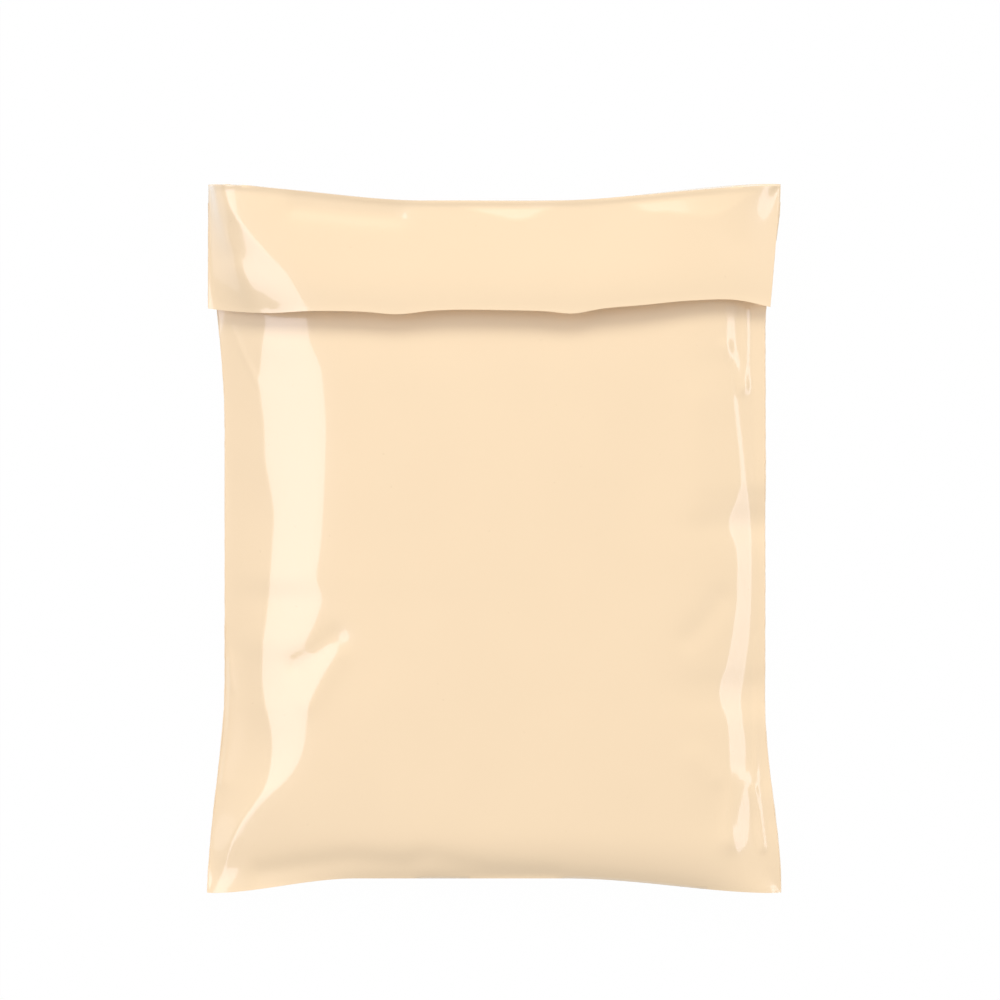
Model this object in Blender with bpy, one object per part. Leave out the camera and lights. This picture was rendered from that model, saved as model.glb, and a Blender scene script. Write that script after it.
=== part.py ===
"""A filled and sealed poly mailer, lying on its back with the flap side up.

The bag is one folded web of plastic film, welded down both sides. The web's long end turns over at
the top fold and comes down over the front as the flap. A band of adhesive across the flap holds it
shut. Below that band, and at its two ends, the flap stands free of the front.

X runs across the bag, Y from the bottom edge to the top fold, and Z up from what it lies on.
The origin is on that surface, under the middle of the bag.
"""

import math

import bmesh
import bpy
import numpy as np

MM = 0.001

# The film, and the bag before it is filled
FILM_THICKNESS = 0.1 * MM
WELD_THICKNESS = 0.2 * MM
FLAT_WIDTH = 254 * MM
CLOSED_LENGTH = 314 * MM
FLAP_DEPTH = 57 * MM

# The filled bag. Its edges ride as high as the film's slopes below leave them, and keep that
# height up to the corners, which lie lower. The larger the power, the shorter the drop to a corner.
FILLED_HEIGHT = 30 * MM
LEFT_CORNER_HEIGHT = 8 * MM
RIGHT_CORNER_HEIGHT = 12 * MM
SIDE_CORNER_POWER = 6
END_CORNER_POWER = 12

# Filling draws the middle of each edge in and leaves the corners out as ears.
# The two reaches are how far along the edge each corner's ear goes.
SIDE_DRAW = 7.2 * MM
TOP_DRAW = 6.3 * MM
BOTTOM_DRAW = 6.6 * MM
LEFT_REACHES = (95 * MM, 108 * MM)
RIGHT_REACHES = (84 * MM, 66 * MM)
BOTTOM_REACHES = (96 * MM, 95 * MM)
TOP_REACHES = (112 * MM, 105 * MM)

# The flap: its gap where it is closed, the tongue below the adhesive, and its free ends
CLOSED_GAP = 0.5 * MM
LIP_CURL = 0.3 * MM
LIP_CURL_WIDTH = 1.5 * MM
TONGUE_DEPTH = 26 * MM
FREE_END_WIDTH = 30 * MM
FOLD_TO_FREE_END = 8 * MM
FOLD_ROLL = 1 * MM
FOLD_FADE = 45 * MM
END_GAP = 3 * MM
RIGHT_END_DRAW = 5.4 * MM

# The lip's waves: the share of the flap's width, and the distance above its straight line in mm
LIP_WAVES = (
    (0.00, 2.0), (0.04, 0.6), (0.11, -0.7), (0.19, -0.1), (0.28, -0.5), (0.34, -1.6), (0.40, -0.1),
    (0.54, 0.1), (0.60, -0.3), (0.65, -1.3), (0.70, 0.8), (0.77, 2.4), (0.86, 4.6), (0.94, 5.0),
    (1.00, 2.2),
)

# How steep the film is at each distance in from an edge: mm in from the flat bag's edge, degrees
LEFT_SLOPES = (
    (7, 26), (9, 30), (11, 32), (24.4, 31), (26, 23), (35, 19), (46, 15), (50, 12), (53, 5), (62, 2),
    (130, 0.6),
)
RIGHT_SLOPES = (
    (7, 5), (9.8, 7), (11, 18), (14, 18), (14.5, 27), (20.5, 27), (21, 17), (28, 15), (36, 11),
    (44, 5), (56, 1.5), (130, 0.4),
)
BOTTOM_SLOPES = (
    (0, 42), (3, 36), (8, 23), (14, 13), (22, 7), (36, 4), (60, 2.5), (90, 1), (145, 0),
)
TOP_SLOPES = (
    (0, 30), (20, 4), (40, 2), (52, 5), (58, 8), (66, 7), (76, 3), (84, 1), (90, 1.2), (145, 0),
)
FLAP_SLOPES = (
    (0, 84), (1.2, 83), (1.6, -18), (3.6, -18), (4.4, 8), (30, 8), (37, 5), (42, 1), (47, -5), (60, -8),
)
FLAP_LEFT_SLOPES = (
    (0, 14), (3, 29), (24.4, 29), (25.6, 17), (43.5, 14), (46, 5), (60, 2), (120, 0),
)
FLAP_RIGHT_SLOPES = ((0, 10), (14, 10), (24, 9), (40, 7), (58, 2), (90, 0))
BACK_SIDE_SLOPES = ((0, 4), (2.5, 5), (5, 34), (15, 28), (28, 12), (38, 0))
BACK_END_SLOPES = ((0, 30), (6, 26), (16, 16), (34, 0))

# The shoulder's band along each side has two lines. The marks are where the slopes above change
# across the band: the weld, the outer line and the inner line, in mm in from the flat side.
LEFT_MARKS = (7, 25, 51)
RIGHT_MARKS = (7, 14.3, 20.7)
FLAP_LEFT_MARKS = (0, 25, 45)

# Where the two lines wander along the bag: mm above its middle, then mm in from the flat side
LEFT_BAND = (
    (157, 12, 24), (130, 18, 32), (97, 26.5, 44), (87, 24.5, 45.5), (76, 23, 50), (65, 22.7, 51.4),
    (50, 24.4, 52.3), (34, 25, 52), (22, 27.3, 51.5), (12, 29, 50.8), (-1, 28.4, 50), (-9, 28, 49),
    (-18, 27.2, 48), (-26, 26.6, 50.5), (-36, 25.4, 48), (-46, 24.2, 45.5), (-56, 23.8, 47.5),
    (-66, 24, 47), (-74, 25.4, 44.8), (-81, 27.3, 43.8), (-88, 28.7, 43.2), (-98, 28.6, 40.5),
    (-106, 27.6, 36), (-112, 26.4, 30), (-116, 25, 26), (-126, 21, 21.6), (-157, 12, 12.6),
)
RIGHT_BAND = (
    (157, 13, 19), (110, 19.5, 25), (97, 20, 24.9), (86, 20.2, 24.4), (77, 20.8, 23.3),
    (70, 21.4, 22.3), (48, 19, 19.9), (27, 16.6, 17.6), (17, 14.8, 20), (6, 13.6, 23.4),
    (-3, 13.4, 20.6), (-27, 13.5, 20.4), (-45, 14.5, 22.3), (-56, 16, 24.5), (-66, 17.4, 27.6),
    (-71, 18, 27.4), (-80, 17.3, 24.4), (-93, 15.8, 23.2), (-105, 17, 23), (-114, 20.6, 22.8),
    (-126, 21.5, 22.3), (-134, 20, 20.4), (-157, 14, 14.4),
)
FLAP_LEFT_BAND = (
    (94, 33, 47), (99, 30, 45.5), (105, 25, 42.5), (111, 20.6, 39.4), (118, 16.6, 34.8),
    (124, 14.8, 28.5), (132, 12, 22), (139, 10.5, 17), (144, 9, 14), (157, 6, 10),
)

# Two facets press the flap down beside its fold: the share of the flap's width and the facet's
# depth in mm, then how far from the fold they start in mm, and their fall for each mm of depth
FACETS = (
    (0, 0), (0.44, 0), (0.484, 3), (0.51, 4.6), (0.536, 6), (0.5625, 5), (0.585, 2), (0.61, 0),
    (0.73, 0), (0.764, 5.5), (0.79, 6), (0.825, 8), (0.86, 9.3), (0.886, 9.2), (0.904, 7.5),
    (0.926, 4), (0.95, 1), (1, 0),
)
FACET_START = 3.7
FACET_STEEPER = 0.27

# Creases, each placed from one corner of the flat bag: the points that it runs through, as
# distances in from that corner's side and end, then its height (a valley's is negative) and
# its half-width, all in mm. They fade out over this share of the film's climb.
FRONT_CREASES = (
    ("left", "bottom", ((40, 101), (49, 107.5), (57, 113.5)), -1.1, 5.5),
    ("left", "bottom", ((45, 84), (52, 95), (58, 106)), 0.7, 5),
    ("right", "bottom", ((41, 113), (34, 120), (27, 130)), -0.5, 6),
    ("left", "bottom", ((36, 19), (62, 21), (94, 17)), -1.0, 5),
    ("left", "bottom", ((96, 16), (125, 10), (152, 8)), -0.8, 5),
)
FLAP_CREASES = (
    ("left", "top", ((42, 5), (62, 8), (80, 10)), 1.5, 6),
    ("right", "top", ((30, 12), (22, 26)), -0.4, 7),
)
BACK_CREASES = (
    ("left", "bottom", ((8, 45), (24, 52), (36, 50)), 0.8, 4),
    ("right", "bottom", ((8, 96), (22, 104), (34, 101)), 0.8, 4),
    ("left", "bottom", ((8, 190), (22, 184), (34, 187)), 0.8, 4),
    ("right", "bottom", ((8, 238), (20, 232), (34, 236)), 0.8, 4),
)
CREASE_FADE_SHARE = 0.25

# The mesh: its spacing next to an edge, how that widens further in, and the tongue's rows
FIRST_STEP = 2.4 * MM
STEP_GROWTH = 1.14
WIDEST_STEP = 10 * MM
TONGUE_ROWS = 8
SHARP_ANGLE = math.radians(60)

# Slopes are added up in steps of this many mm, each averaged with its neighbours
SLOPE_STEP = 0.1
SLOPE_NEIGHBOURS = 5

FILM_COLOUR = (0.945, 0.735, 0.49, 1)
FILM_ROUGHNESS = 0.16

HALF_WIDTH = FLAT_WIDTH / 2
HALF_LENGTH = CLOSED_LENGTH / 2
LIP_LINE = HALF_LENGTH - FLAP_DEPTH


def ease(share):
    """0 up to a share of 0, 1 from a share of 1, and an S curve between."""
    t = np.clip(share, 0, 1)
    return t * t * (3 - 2 * t)


def through(points, places):
    """The height at each place of a smooth curve through the points."""
    along, height = np.array(sorted(points), float).T
    slope = np.gradient(height, along)
    i = np.clip(np.searchsorted(along, places) - 1, 0, len(along) - 2)
    span = along[i + 1] - along[i]
    t = np.clip((places - along[i]) / span, 0, 1)
    chord = height[i] + (height[i + 1] - height[i]) * ease(t)
    return chord + span * t * (1 - t) * (slope[i] * (1 - t) - slope[i + 1] * t)


def rise(slopes, distance):
    """How high film with these slopes has climbed at each distance in mm, in mm."""
    along, degrees = np.array(slopes, float).T
    steps = np.arange(along[0], along[-1], SLOPE_STEP)
    steep = np.tan(np.radians(np.interp(steps, along, degrees)))
    averaged = 2 * SLOPE_NEIGHBOURS + 1
    padded = np.pad(steep, SLOPE_NEIGHBOURS, mode="edge")
    steep = np.convolve(padded, np.ones(averaged) / averaged, mode="valid")
    height = np.concatenate([[0], np.cumsum(steep[1:] + steep[:-1])]) * SLOPE_STEP / 2
    return np.interp(distance, steps, height)


def whole_rise(slopes):
    return rise(slopes, slopes[-1][0])


def climb(slopes, distance):
    """The share of its whole climb that film with these slopes has made at each distance."""
    return rise(slopes, distance / MM) / whole_rise(slopes)


def edge_below(slopes):
    """The height of an edge from which film with these slopes climbs to the contents."""
    return FILLED_HEIGHT - MM * whole_rise(slopes)


def band_lines(band, y):
    """The places of a band's outer and inner line, in mm in from the flat side."""
    outer = through([(place, near) for place, near, far in band], y / MM)
    inner = through([(place, far) for place, near, far in band], y / MM)
    return outer, inner


def drop(slopes, marks, band, edge, distance, y, held):
    """How far the film has dropped below the contents at each distance from a side, in mm.

    Between the band's two lines the film keeps the table's slopes, however wide the band is there.
    Where the edge is held at one height, the film outside the band makes up for the band's width.
    """
    outer, inner = band_lines(band, y)
    d, e = distance / MM, edge / MM
    margin = (outer - e) / (marks[1] - marks[0])
    width = (inner - outer) / (marks[2] - marks[1])
    at_outer, at_inner = rise(slopes, marks[1]), rise(slopes, marks[2])
    above_band = whole_rise(slopes) - at_inner
    in_band = width * (at_inner - rise(slopes, marks[1] + (d - outer) / width))
    whole_band = width * (at_inner - at_outer)
    whole_margin = at_inner - whole_band if held else margin * at_outer
    in_margin = whole_margin * (1 - rise(slopes, marks[0] + (d - e) / margin) / at_outer)
    below = np.where(d < outer, whole_band + in_margin, in_band)
    above_middle = whole_rise(slopes) - rise(slopes, marks[2] + d - inner)
    return np.where(d < inner, above_band + below, above_middle)


BOTTOM_EDGE_HEIGHT = edge_below(BOTTOM_SLOPES)
FOLD_HEIGHT = edge_below(TOP_SLOPES)


def draw(from_one, from_other, reaches):
    """The share of its full draw that an edge has between two corners, from its distances to them."""
    return ease(from_one / reaches[0]) * ease(from_other / reaches[1])


def left_edge(y):
    return -HALF_WIDTH + SIDE_DRAW * draw(HALF_LENGTH + y, HALF_LENGTH - y, LEFT_REACHES)


def right_edge(y):
    return HALF_WIDTH - SIDE_DRAW * draw(HALF_LENGTH + y, HALF_LENGTH - y, RIGHT_REACHES)


def bottom_edge(x):
    return -HALF_LENGTH + BOTTOM_DRAW * draw(HALF_WIDTH + x, HALF_WIDTH - x, BOTTOM_REACHES)


def top_fold(x):
    return HALF_LENGTH - TOP_DRAW * draw(HALF_WIDTH + x, HALF_WIDTH - x, TOP_REACHES)


def flap_lip(x):
    return LIP_LINE + MM * through(LIP_WAVES, (HALF_WIDTH + x) / FLAT_WIDTH)


def left_drop(x, y):
    edge = HALF_WIDTH + left_edge(y)
    return drop(LEFT_SLOPES, LEFT_MARKS, LEFT_BAND, edge, HALF_WIDTH + x, y, True)


def right_drop(x, y):
    edge = HALF_WIDTH - right_edge(y)
    return drop(RIGHT_SLOPES, RIGHT_MARKS, RIGHT_BAND, edge, HALF_WIDTH - x, y, False)


def nearness(place, start, end):
    """Grows towards either of two edges, and is smooth halfway between them."""
    depth = (place - start) * (end - place) / (end - start)
    return 1 / (depth ** 2 + FILM_THICKNESS ** 2)


def edge_height(x, y):
    """How high the bag's edge rides above the table: the sides' height blended into the ends'."""
    to_right = ease((HALF_WIDTH + x) / FLAT_WIDTH)
    to_top = ease((HALF_LENGTH + y) / CLOSED_LENGTH)
    left, right = left_drop(left_edge(y), y), right_drop(right_edge(y), y)
    side = FILLED_HEIGHT - MM * (left + (right - left) * to_right)
    end = BOTTOM_EDGE_HEIGHT + (FOLD_HEIGHT - BOTTOM_EDGE_HEIGHT) * to_top
    corner = LEFT_CORNER_HEIGHT + (RIGHT_CORNER_HEIGHT - LEFT_CORNER_HEIGHT) * to_right
    along_side = side - (side - corner) * (y / HALF_LENGTH) ** SIDE_CORNER_POWER
    along_end = end - (end - corner) * (x / HALF_WIDTH) ** END_CORNER_POWER
    near_side = nearness(x, left_edge(y), right_edge(y))
    near_end = nearness(y, bottom_edge(x), top_fold(x))
    return (along_side * near_side + along_end * near_end) / (near_side + near_end)


def crease_height(creases, x, y):
    """What the creases add to the height at each point, each one a soft ridge or valley."""
    total = np.zeros_like(x)
    for side, end, points, height, half_width in creases:
        from_side, from_end = MM * np.array(points, float).T
        px = from_side - HALF_WIDTH if side == "left" else HALF_WIDTH - from_side
        py = from_end - HALF_LENGTH if end == "bottom" else HALF_LENGTH - from_end
        nearest = np.full_like(x, np.inf)
        for ax, ay, bx, by in zip(px[:-1], py[:-1], px[1:], py[1:]):
            dx, dy = bx - ax, by - ay
            t = np.clip(((x - ax) * dx + (y - ay) * dy) / (dx * dx + dy * dy), 0, 1)
            nearest = np.minimum(nearest, np.hypot(x - ax - t * dx, y - ay - t * dy))
        total += height * MM * np.exp(-((nearest / (half_width * MM)) ** 2))
    return total


def front_height(x, y):
    """The front, from its edges up over the contents."""
    left = left_drop(x, y) / left_drop(left_edge(y), y)
    right = right_drop(x, y) / right_drop(right_edge(y), y)
    across = (1 - left) * (1 - right)
    along = climb(BOTTOM_SLOPES, y - bottom_edge(x)) * climb(TOP_SLOPES, top_fold(x) - y)
    full = across * along
    edge = edge_height(x, y) + WELD_THICKNESS / 2
    creases = crease_height(FRONT_CREASES, x, y) * ease(full / CREASE_FADE_SHARE)
    return edge + (FILLED_HEIGHT - edge) * full + creases


def back_height(x, y):
    """0 where the bag lies on the table, rising outside that to its edge."""
    sides = climb(BACK_SIDE_SLOPES, x - left_edge(y)) * climb(BACK_SIDE_SLOPES, right_edge(y) - x)
    ends = climb(BACK_END_SLOPES, y - bottom_edge(x)) * climb(BACK_END_SLOPES, top_fold(x) - y)
    lifted = 1 - sides * ends
    fade = ease(lifted / CREASE_FADE_SHARE) * ease((1 - lifted) / CREASE_FADE_SHARE)
    return (edge_height(x, y) - WELD_THICKNESS / 2) * lifted + crease_height(BACK_CREASES, x, y) * fade


def flap_marks(x, y):
    """The distance from the flap's left end as its slope table counts it, with the band at its marks."""
    outer, inner = band_lines(FLAP_LEFT_BAND, y)
    _, at_outer, at_inner = FLAP_LEFT_MARKS
    d = (HALF_WIDTH + x) / MM
    in_band = at_outer + (d - outer) * (at_inner - at_outer) / (inner - outer)
    return MM * np.where(d < outer, d * at_outer / outer, np.where(d < inner, in_band, at_inner + d - inner))


def flap_middle_height(x, y):
    """The flap between its two ends: up from the fold, over its facets and down to the lip."""
    from_fold = (top_fold(x) - y) / MM
    facet = np.maximum(through(FACETS, (HALF_WIDTH + x) / FLAT_WIDTH), 0)
    facet_left = np.clip(FACET_START + facet - from_fold, 0, facet)
    fold_drop = FOLD_HEIGHT - edge_height(x, np.full_like(x, HALF_LENGTH))
    risen = MM * (rise(FLAP_SLOPES, from_fold) - FACET_STEEPER * facet_left)
    return FOLD_HEIGHT + risen - fold_drop * (1 - ease((top_fold(x) - y) / FOLD_FADE))


def flap_height(x, y):
    """The flap's outer face."""
    above_lip = y - flap_lip(x)
    down = 1 - above_lip / (top_fold(x) - flap_lip(x))
    edge = edge_height(x, y) + WELD_THICKNESS / 2
    end = edge + CLOSED_GAP + END_GAP * ease(down)
    inward = climb(FLAP_LEFT_SLOPES, flap_marks(x, y)) * climb(FLAP_RIGHT_SLOPES, HALF_WIDTH - x)
    height = end + (flap_middle_height(x, y) - end) * inward
    curl = LIP_CURL * np.exp(-above_lip / LIP_CURL_WIDTH)
    rolled = ease((top_fold(x) - y) / FOLD_ROLL)
    return edge + (height - edge + curl + crease_height(FLAP_CREASES, x, y)) * rolled


def under_flap_height(x, y):
    """The front below the flap, which rises to meet the flap where the adhesive holds it."""
    up = ease((y - flap_lip(x)) / TONGUE_DEPTH)
    front = front_height(x, y)
    return front + (flap_height(x, y) - CLOSED_GAP - front) * up


def spaced(length):
    """Places along a length as shares of it, close together at first and wider apart further on."""
    steps = [FIRST_STEP]
    while sum(steps) < length:
        steps.append(min(steps[-1] * STEP_GROWTH, WIDEST_STEP))
    places = np.concatenate([[0], np.cumsum(steps)])
    return places / places[-1]


def bag_points(across, y, height):
    x = left_edge(y) + (right_edge(y) - left_edge(y)) * across
    return np.stack([x, y, height(x, y)], axis=-1)


def flap_points(across, y, height):
    """Points of the flap, whose right end is drawn in towards the lip."""
    drawn = RIGHT_END_DRAW * np.clip((HALF_LENGTH - y) / FLAP_DEPTH, 0, 1)
    x = -HALF_WIDTH + (FLAT_WIDTH - drawn) * across
    return np.stack([x, y, height(x, y)], axis=-1)


def film_runs(across):
    """The film's surface all the way round the bag, as six runs of rows of points.

    The front goes up to the crotch of the gap below the flap, and the underside comes down from
    there to the lip. The tongue and the closed flap are the flap's outer face above these two, and
    behind and back are the other side of the bag, coming down again.
    """
    x = HALF_WIDTH * (2 * across - 1)
    low, fold, lip = bottom_edge(x), top_fold(x), flap_lip(x)
    from_end = np.minimum(across, 1 - across) * FLAT_WIDTH
    free_end = fold - FOLD_TO_FREE_END
    crotch = free_end + (lip + TONGUE_DEPTH - free_end) * ease(from_end / FREE_END_WIDTH)
    body = spaced(HALF_LENGTH + LIP_LINE)[:, None]
    closing = 1 - spaced(FLAP_DEPTH - TONGUE_DEPTH)[::-1, None]
    front_y = low + (lip - low) * body
    tongue_y = lip + (crotch - lip) * np.linspace(0, 1, TONGUE_ROWS + 1)[:, None]
    closed_y = crotch + (fold - crotch) * closing
    bag_y = np.concatenate([front_y, tongue_y[1:]])
    open_front = bag_points(across, front_y, front_height)
    covered_front = bag_points(across, tongue_y[1:], under_flap_height)
    underside = flap_points(across, tongue_y[-2::-1], flap_height) - [0, 0, FILM_THICKNESS]
    return (
        np.concatenate([open_front, covered_front]),
        underside,
        flap_points(across, tongue_y, flap_height),
        flap_points(across, closed_y[1:], flap_height),
        bag_points(across, closed_y[::-1], back_height),
        bag_points(across, bag_y[-2::-1], back_height),
    )


def end_faces(column, starts, columns):
    """The faces that close the film along one welded side."""
    rows = np.split(np.arange(starts[-1]) * columns + column, starts[1:-1])
    front, under, tongue, closed, behind, back = (list(run) for run in rows)
    crotch, over, below = front[-1], tongue[-1], behind[-1]
    facing = (
        (front, back[::-1] + [below]),
        ([crotch] + under, tongue[::-1]),
        ([over] + closed, behind[::-1]),
    )
    faces = [(crotch, over, below)]
    for one, other in facing:
        faces += zip(one[:-1], one[1:], other[1:], other[:-1])
    return faces


def film_mesh():
    half = spaced(HALF_WIDTH) / 2
    across = np.concatenate([half, 1 - half[-2::-1]])
    runs = film_runs(across)
    starts = np.cumsum([0] + [len(run) for run in runs])
    columns = len(across)
    number = np.arange(starts[-1] * columns).reshape(-1, columns)
    after = np.roll(number, -1, axis=0)
    quads = np.stack([number[:, :-1], number[:, 1:], after[:, 1:], after[:, :-1]], axis=-1)
    faces = quads.reshape(-1, 4).tolist()
    for column in (0, columns - 1):
        faces += end_faces(column, starts, columns)
    mesh = bpy.data.meshes.new("mailer")
    mesh.from_pydata(np.concatenate(runs).reshape(-1, 3).tolist(), [], faces)
    solid = bmesh.new()
    solid.from_mesh(mesh)
    bmesh.ops.recalc_face_normals(solid, faces=solid.faces)
    bmesh.ops.triangulate(solid, faces=solid.faces)
    solid.to_mesh(mesh)
    solid.free()
    mesh.shade_smooth()
    mesh.set_sharp_from_angle(angle=SHARP_ANGLE)
    return mesh


def film_material():
    material = bpy.data.materials.new("film")
    material.use_nodes = True
    shader = material.node_tree.nodes["Principled BSDF"]
    shader.inputs["Base Color"].default_value = FILM_COLOUR
    shader.inputs["Metallic"].default_value = 0
    shader.inputs["Roughness"].default_value = FILM_ROUGHNESS
    return material


def mailer():
    mesh = film_mesh()
    mesh.materials.append(film_material())
    bag = bpy.data.objects.new("mailer", mesh)
    bpy.context.scene.collection.objects.link(bag)
    return bag


for leftover in list(bpy.data.objects):
    bpy.data.objects.remove(leftover)
mailer()
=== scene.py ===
# %% [markdown]
# # A poly mailer, filled and sealed
#
# A poly mailer is a bag of thin, glossy polyethylene film. One long web of film is folded at the
# bottom, welded down both sides, filled, and shut by turning its end down over the front as a flap.
# Almost everything that makes it look real is in how the film bends: flat over the contents,
# steep at the sides, creased near the welds, and free along the flap's wavy lip.
#
# The film's shape is written as heights over a flat plan, so each form has a place and a size that
# can be read and changed. A cloth simulation would fold the film too, but by chance, and not where
# this bag has its folds.

import math

import bmesh
import bpy
import numpy as np
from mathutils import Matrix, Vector


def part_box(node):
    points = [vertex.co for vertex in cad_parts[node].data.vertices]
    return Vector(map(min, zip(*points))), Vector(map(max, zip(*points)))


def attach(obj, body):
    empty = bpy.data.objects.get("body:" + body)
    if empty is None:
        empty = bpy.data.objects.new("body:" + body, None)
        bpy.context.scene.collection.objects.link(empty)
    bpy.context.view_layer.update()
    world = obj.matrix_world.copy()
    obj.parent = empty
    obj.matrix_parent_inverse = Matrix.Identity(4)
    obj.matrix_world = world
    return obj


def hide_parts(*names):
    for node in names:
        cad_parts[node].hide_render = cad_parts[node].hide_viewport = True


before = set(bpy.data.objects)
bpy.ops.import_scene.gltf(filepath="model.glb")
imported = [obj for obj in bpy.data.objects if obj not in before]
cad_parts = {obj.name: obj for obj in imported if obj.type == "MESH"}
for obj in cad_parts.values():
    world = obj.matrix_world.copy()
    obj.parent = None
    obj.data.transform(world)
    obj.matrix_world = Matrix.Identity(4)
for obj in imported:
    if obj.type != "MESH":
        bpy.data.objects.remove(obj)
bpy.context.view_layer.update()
MM = 0.001
low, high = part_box("mailer")
HALF_WIDTH = (high[0] - low[0]) / 2
HALF_LENGTH = (high[1] - low[1]) / 2
print("bag:", round(2 * HALF_WIDTH / MM, 1), "x", round(2 * HALF_LENGTH / MM, 1), "mm")

# %% [markdown]
# ## The camera
#
# The bag is seen from straight above with almost no perspective, so a long lens stands well back.
# The width of the view comes from the bag: its flat width fills 571.5 of the picture's 1000 pixels.

# %% Camera
PICTURE_PIXELS = 1000
BAG_PIXELS = 571.5
BAG_MIDDLE_PIXEL = (494.25, 538.25)
PIXEL = 2 * HALF_WIDTH / BAG_PIXELS
LENS = 135
SENSOR = 36
EDGE_PLANE = 11 * MM


def pixel_place(column, row):
    """Where a pixel of the picture lies on the bag's plane."""
    return ((column - BAG_MIDDLE_PIXEL[0]) * PIXEL, (BAG_MIDDLE_PIXEL[1] - row) * PIXEL)


view_width = PICTURE_PIXELS * PIXEL
camera_data = bpy.data.cameras.new("camera")
camera_data.lens = LENS
camera_data.sensor_width = SENSOR
camera = bpy.data.objects.new("camera", camera_data)
bpy.context.scene.collection.objects.link(camera)
picture_middle = pixel_place(PICTURE_PIXELS / 2, PICTURE_PIXELS / 2)
camera.location = (*picture_middle, EDGE_PLANE + view_width * LENS / SENSOR)
bpy.context.scene.camera = camera
bpy.context.scene.view_settings.view_transform = "Standard"
print("camera", round(camera.location.z, 3), "m above the table")

# %% [markdown]
# ## The table
#
# The bag lies on a plain white table that melts into the background. The table gives out white to
# the camera and to reflections, and is a matt white surface to all other light. The small share of
# that surface that the camera still sees is what takes the bag's shadow.

# %% Table
TABLE_SIZE = 6.0
TABLE_COLOUR = (0.9, 0.9, 0.9, 1)
TABLE_ROUGHNESS = 0.9
TABLE_WHITE_SHARE = 0.99


def table_material():
    material = bpy.data.materials.new("table")
    material.use_nodes = True
    tree = material.node_tree
    shader = tree.nodes["Principled BSDF"]
    shader.inputs["Base Color"].default_value = TABLE_COLOUR
    shader.inputs["Roughness"].default_value = TABLE_ROUGHNESS
    white = tree.nodes.new("ShaderNodeEmission")
    path = tree.nodes.new("ShaderNodeLightPath")
    seen = tree.nodes.new("ShaderNodeMath")
    seen.operation = "MAXIMUM"
    share = tree.nodes.new("ShaderNodeMath")
    share.operation = "MULTIPLY"
    share.inputs[1].default_value = TABLE_WHITE_SHARE
    mix = tree.nodes.new("ShaderNodeMixShader")
    tree.links.new(path.outputs["Is Camera Ray"], seen.inputs[0])
    tree.links.new(path.outputs["Is Glossy Ray"], seen.inputs[1])
    tree.links.new(seen.outputs[0], share.inputs[0])
    tree.links.new(share.outputs[0], mix.inputs["Fac"])
    tree.links.new(shader.outputs[0], mix.inputs[1])
    tree.links.new(white.outputs[0], mix.inputs[2])
    tree.links.new(mix.outputs[0], tree.nodes["Material Output"].inputs["Surface"])
    return material


table_mesh = bpy.data.meshes.new("table")
half = TABLE_SIZE / 2
corners = [(-half, -half, 0), (half, -half, 0), (half, half, 0), (-half, half, 0)]
table_mesh.from_pydata(corners, [], [(0, 1, 2, 3)])
table_mesh.materials.append(table_material())
table = bpy.data.objects.new("table", table_mesh)
bpy.context.scene.collection.objects.link(table)
print("table", TABLE_SIZE, "m square")

# %% [markdown]
# ## The light
#
# Glossy film is only as good as what it mirrors. Soft, even light from all round gives the film its
# own colour, and a few large panels give the highlights. A panel at an angle from straight above
# shows on film that slopes by half that angle, so the left panel, at 18 to 54 degrees, lights the
# left shoulder, and the low strip on the right only shows on the steepest film. The key at the top
# is hidden from reflections: it only shades the film, so slopes that face away from it turn darker.

# %% Light
SKY_LEVEL = 0.42
SKY_COLOUR = (1, 1, 0.94, 1)
LAMP_DISTANCE = 6.0
COOL_WHITE = (1, 1, 1.2)
WARM_WHITE = (1, 0.99, 0.95)

world = bpy.data.worlds.new("soft_room")
world.use_nodes = True
world.node_tree.nodes["Background"].inputs["Color"].default_value = SKY_COLOUR
world.node_tree.nodes["Background"].inputs["Strength"].default_value = SKY_LEVEL
bpy.context.scene.world = world


def panel(name, azimuth, lean, lean_range, cross_range, radiance, colour=COOL_WHITE):
    """A light panel facing the bag, leaning from straight above it, with its half-size as angles."""
    width = 2 * LAMP_DISTANCE * math.tan(math.radians(cross_range))
    height = 2 * LAMP_DISTANCE * math.tan(math.radians(lean_range))
    light = bpy.data.lights.new(name, "AREA")
    light.shape = "RECTANGLE"
    light.size = width
    light.size_y = height
    light.energy = radiance * math.pi * width * height
    light.color = colour
    lamp = bpy.data.objects.new(name, light)
    bpy.context.scene.collection.objects.link(lamp)
    turn, tilt = math.radians(azimuth), math.radians(lean)
    away = Vector((math.cos(turn) * math.sin(tilt), math.sin(turn) * math.sin(tilt), math.cos(tilt)))
    lamp.location = away * LAMP_DISTANCE
    lamp.rotation_euler = away.to_track_quat("Z", "Y").to_euler()
    print(name, "at", [round(v, 2) for v in lamp.location])
    return lamp


panel("left_panel", azimuth=178, lean=36, lean_range=18, cross_range=25, radiance=1.98)
panel("right_strip", azimuth=2, lean=56, lean_range=7, cross_range=28, radiance=2.15)
panel("top_strip", azimuth=90, lean=48, lean_range=5, cross_range=28, radiance=0.85)
top_key = panel("top_key", azimuth=85, lean=48, lean_range=12, cross_range=16, radiance=5.4,
                colour=WARM_WHITE)
top_key.visible_glossy = False

# %% [markdown]
# ## The outline of a filled bag
#
# Filling a flat bag pulls the middle of each edge inwards and leaves the corners out as ears. So an
# edge is its straight line plus a draw that eases from 0 at a corner to its full size further along.

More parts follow.
